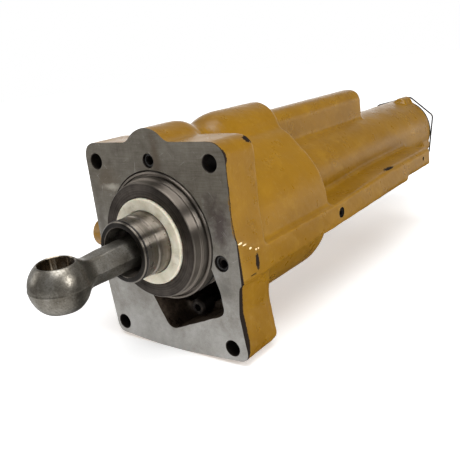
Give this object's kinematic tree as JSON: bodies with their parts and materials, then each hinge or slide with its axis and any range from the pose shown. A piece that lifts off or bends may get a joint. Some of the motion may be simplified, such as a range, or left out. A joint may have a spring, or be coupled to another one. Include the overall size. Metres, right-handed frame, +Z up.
{
  "type": "hydraulic cylinder",
  "caption": "Flange-mounted hydraulic cylinder: ribbed cast housing, gland, hollow sliding ram and a connecting rod with an eye that swings inside the ram.",
  "frame": {"origin": "where the cylinder's axis crosses the flange's ground face", "axes": "+Y back along the barrel, the ram comes out along -Y, +Z up through the top boss, +X to the side rail"},
  "size_m": [0.176, 0.64, 0.1918],
  "materials": {
    "casting_paint": "ochre enamel over cast iron, semi-gloss, worn",
    "gland_steel": "dark turned steel, oily",
    "ram_steel": "ground and polished, light scratches",
    "forged_steel": "forged, dull grey",
    "bronze": "turned bronze",
    "white_nylon": "off-white nylon, slightly stained",
    "seal_rubber": "black nitrile",
    "wire_steel": "blackened spring wire",
    "plug_steel": "blackened steel"
  },
  "bodies": {
    "cylinder_body": {"housing": "casting_paint", "gland": "gland_steel", "wiper_ring": "white_nylon", "rod_seal": "seal_rubber", "gland_bush": "bronze", "gland_o_ring": "seal_rubber", "spigot_o_ring": "seal_rubber", "rear_cover": "gland_steel", "rear_cover_o_ring": "seal_rubber", "cover_wire": "wire_steel", "top_port_seal": "seal_rubber", "side_port_seal": "seal_rubber", "pocket_plug": "plug_steel", "top_gallery_plug": "plug_steel", "side_gallery_plug": "plug_steel", "rail_plug_front": "plug_steel", "rail_plug_rear": "plug_steel", "port_plug": "plug_steel"},
    "ram_body": {"ram": "ram_steel", "ram_clip": "wire_steel", "stop_collar": "gland_steel", "piston": "gland_steel", "piston_seal": "seal_rubber", "piston_wear_ring_front": "white_nylon", "piston_wear_ring_rear": "white_nylon", "piston_o_ring": "seal_rubber", "piston_nut": "plug_steel", "ball_seat_rear": "bronze", "ball_seat_front": "bronze", "seat_nut": "plug_steel"},
    "rod_body": {"connecting_rod": "forged_steel"}
  },
  "joints": [
    {"name": "ram_slide", "type": "slide", "parent": "cylinder_body", "child": "ram_body", "axis": [0, -1, 0], "range_m": [0, 0.16]},
    {"name": "rod_swing", "type": "hinge", "parent": "ram_body", "child": "rod_body", "pos_m": [0, 0.035, 0], "axis": [1, 0, 0], "range_deg": [-6.5, 3.9]}
  ]
}
